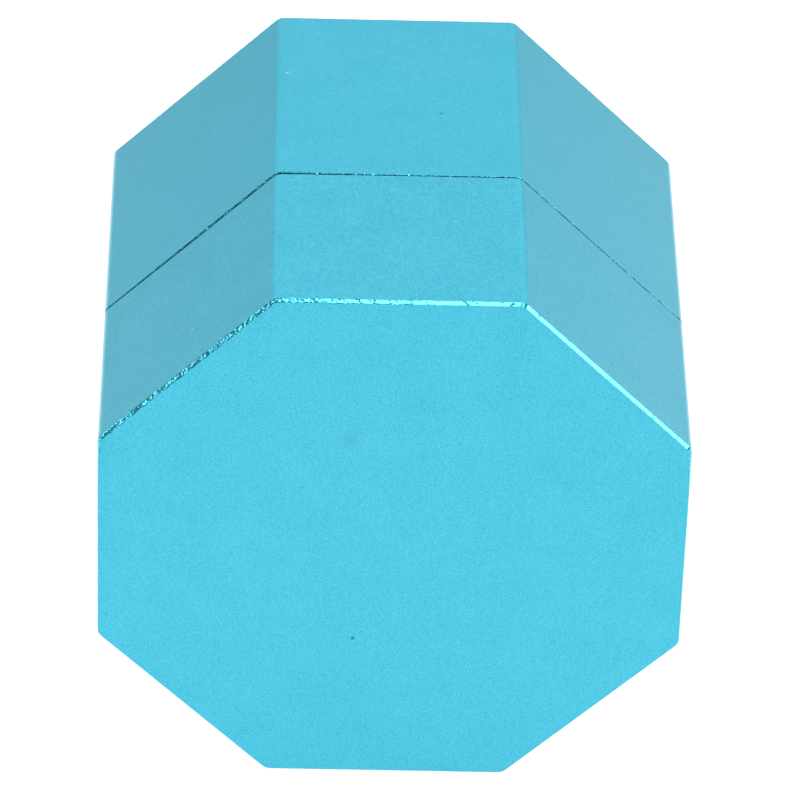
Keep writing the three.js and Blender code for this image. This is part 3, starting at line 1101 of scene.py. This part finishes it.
def countersunk(name, back, front, head, shank, finish, key=0.0):
    """A countersunk screw on the axis, with a hexagonal socket if `key` says how wide."""
    corners = [
        (0, front, 0),
        (shank, front, 0.3),
        (shank, back + COUNTERSINK_DEPTH, 0.1),
        (head, back + COUNTERSINK_RIM, 0),
        (head, back, 0),
        (key * SCREW_KEY_RIM, back, 0),
    ]
    rings = eased(corners, count=SMALL_COUNT)
    if key:
        socket = polygon(HEXAGON, key, SCREW_KEY_CORNER)
        socket_end = back + SCREW_KEY_DEPTH
        rings += [Ring(socket, station, 0, SMALL_COUNT) for station in (back, socket_end)]
        rings.append(Ring(0, socket_end + SCREW_KEY_TIP))
    return skin(name, rings, [finish])


def retainer_ring():
    """Stepped ring with four countersunk holes."""
    back, front = span("retainer_ring")
    flange = back + RING_FLANGE
    rings = eased(
        [
            (RING_MIDDLE, back, 0),
            (reach("retainer_ring"), back, 0.4),
            (reach("retainer_ring"), flange, 0.4),
            (SPIGOT_RADIUS, flange, 0.2),
            (SPIGOT_RADIUS, front, 0.4),
            (RING_BORE, front, EASE),
            (RING_BORE, back, EASE),
            (RING_MIDDLE - JOIN_STEP, back, 0),
        ],
        count=HUB_COUNT,
    )
    ring = skin("swivel_retainer", rings, [stainless], closed=True)

    def hole():
        end = flange + TOOL_PROUD
        return countersunk("hole", back, end, COUNTERSINK_RADIUS, SCREW_HOLE_RADIUS, stainless)

    return combine(ring, at_screws(hole), "DIFFERENCE")


def retainer_screws():
    """The four countersunk screws."""
    back, front = span("retainer_screw_1")

    def screw():
        head, shank = SCREW_HEAD_RADIUS, SCREW_RADIUS
        return countersunk("screw", back, front, head, shank, stainless, SCREW_KEY)

    return at_screws(screw)


# ---------------------------------------------------------------- stage, lights and camera

CAMERA_AZIMUTH = -1.587  # in degrees, like the elevation and the roll
CAMERA_ELEVATION = 35.82
CAMERA_ROLL = 2.035
CAMERA_DISTANCE = 10.28  # in widths across the flats, from the middle of the front face
CAMERA_RIGHT = 0.014  # in the same widths
CAMERA_UP = 0.2431
LENS = 272.1  # in mm, and so is SENSOR
SENSOR = 36.0
CLIP_NEAR = 0.05  # in metres, and so is CLIP_FAR
CLIP_FAR = 50.0

FLOOR_HALF = 6.0  # in metres
FLOOR_TONE = (0.25, 0.25, 0.25)
FLOOR_UNEVEN = 0.02
FLOOR_GLOW = 0.38
PAINTED_POOL_GLOW = 0.54  # what the painted pool of light round the barrel adds to the floor's glow
POOL_RADIUS = 350.0  # in mm, and so is POOL_SOFT
POOL_SOFT = 700.0
STUDIO_TONE = 1.0
STUDIO_STRENGTH = 0.29


def set_camera():
    """A long lens a little above the barrel's front, leaning slightly to one side."""
    azimuth = math.radians(CAMERA_AZIMUTH)
    elevation = math.radians(CAMERA_ELEVATION)
    roll = math.radians(CAMERA_ROLL)
    back = Vector(
        (
            math.sin(azimuth) * math.cos(elevation),
            -math.cos(azimuth) * math.cos(elevation),
            math.sin(elevation),
        )
    )
    level = Vector((math.cos(azimuth), math.sin(azimuth), 0))
    steep = back.cross(level)
    right = level * math.cos(roll) + steep * math.sin(roll)
    up = steep * math.cos(roll) - level * math.sin(roll)
    width = ACROSS_FLATS * MM
    data = bpy.data.cameras.new("camera")
    data.lens = LENS
    data.sensor_width = SENSOR
    data.clip_start = CLIP_NEAR
    data.clip_end = CLIP_FAR
    camera = bpy.data.objects.new("camera", data)
    bpy.context.scene.collection.objects.link(camera)
    where = FACE_CENTRE + (back * CAMERA_DISTANCE + right * CAMERA_RIGHT + up * CAMERA_UP) * width
    camera.matrix_world = Matrix.Translation(where) @ Matrix((right, up, back)).transposed().to_4x4()
    bpy.context.scene.camera = camera


def add_floor():
    """A pale table that glows evenly, with a painted pool of light round the barrel, wide enough to be
    the whole background.
    """
    corners = [(x * FLOOR_HALF, y * FLOOR_HALF, 0) for x, y in ((-1, -1), (1, -1), (1, 1), (-1, 1))]
    data = bpy.data.meshes.new("floor")
    data.from_pydata(corners, [], [(0, 1, 2, 3)])
    floor = bpy.data.objects.new("floor", data)
    bpy.context.scene.collection.objects.link(floor)
    n = Nodes("floor_paint")
    tone = n.noise(60.0, 2.0)
    low, high = shade(FLOOR_TONE, 1 - FLOOR_UNEVEN), shade(FLOOR_TONE, 1 + FLOOR_UNEVEN)
    colour = n.blend(tone, low, high)
    # Painted light: the glow is stronger in a pool round the barrel, which lightens the barrel's lower
    # front and washes out the shade under it.
    pool = n.spot((0, 0, 0), POOL_RADIUS, POOL_SOFT)
    glow = n.math("ADD", n.math("MULTIPLY", pool, PAINTED_POOL_GLOW), FLOOR_GLOW)
    paint = n.finish(
        Base_Color=colour,
        Roughness=0.8,
        Emission_Color=(1, 1, 1, 1),
        Emission_Strength=glow,
    )
    data.materials.append(paint)


def add_softbox(name, direction, distance, width, height, power):
    """A rectangular area light, aimed at the barrel from a direction. Metres and watts."""
    data = bpy.data.lights.new(name, "AREA")
    data.shape = "RECTANGLE"
    data.size = width
    data.size_y = height
    data.energy = power
    light = bpy.data.objects.new(name, data)
    bpy.context.scene.collection.objects.link(light)
    away = Vector(direction).normalized()
    where = Vector((0, 0, AXIS_Z)) + away * distance
    facing = away.to_track_quat("Z", "Y").to_matrix().to_4x4()
    light.matrix_world = Matrix.Translation(where) @ facing


def add_surroundings(tone, strength):
    """An even pale studio all round."""
    world = bpy.data.worlds.new("studio")
    world.use_nodes = True
    background = world.node_tree.nodes["Background"]
    background.inputs["Color"].default_value = (tone, tone, tone, 1)
    background.inputs["Strength"].default_value = strength
    bpy.context.scene.world = world


# ---------------------------------------------------------------- the barrel

SHELL, LINER, SEAL, STEEL, WASHER = (
    "anodised_shell",
    "liner_rubber",
    "seal_rubber",
    "stainless",
    "acetal",
)

place(body_shell(), "body_shell", "barrel", SHELL)
place(body_liner(), "body_liner", "barrel", LINER)
place(neck_o_ring(), "neck_o_ring", "barrel", SEAL)
place(lid_shell(), "lid_shell", "lid", SHELL)
place(washer("thrust_pad", "thrust_washer", THRUST_BORE, acetal), "thrust_washer", "lid", WASHER)
place(retainer_ring(), "retainer_ring", "lid", STEEL)
for number, screw in enumerate(retainer_screws(), 1):
    screw.name = f"screw_{number}"
    place(screw, f"retainer_screw_{number}", "lid", STEEL)
place(seal_plate(), "seal_plate", "inner_lid", STEEL)
place(seal_boot(), "seal_boot", "inner_lid", SEAL)
place(swivel_spindle(), "swivel_spindle", "inner_lid", STEEL)
nut_washer = washer("nut_washer", "spindle_washer", STUB_HOLE, stainless)
place(nut_washer, "spindle_washer", "inner_lid", STEEL)
place(spindle_nut(), "spindle_nut", "inner_lid", STEEL)

add_floor()
add_surroundings(STUDIO_TONE, STUDIO_STRENGTH)
add_softbox("overhead", (0, 0.1, 1), 1.6, 1.5, 1.5, 10.5)
add_softbox("key", (0.05, -0.6, 0.8), 1.6, 0.5, 0.5, 3.3)
add_softbox("key_right", (0.45, -0.58, 0.65), 1.6, 0.5, 0.5, 1.4)
add_softbox("left", (-1, 0.4, 0.9), 0.8, 0.48, 0.48, 1.7)
add_softbox("left_front", (-0.7, -0.8, 0.35), 1.5, 0.8, 0.8, 4.2)
add_softbox("right", (1, 0.3, 0.9), 0.9, 0.54, 0.54, 3.5)
add_softbox("right_low", (0.88, -0.4, 0.3), 1.5, 0.4, 0.4, 2.2)
add_softbox("behind", (0, 0.75, 0.66), 0.9, 1.3, 0.8, 1.5)
set_camera()
bpy.context.scene.view_settings.view_transform = "Standard"
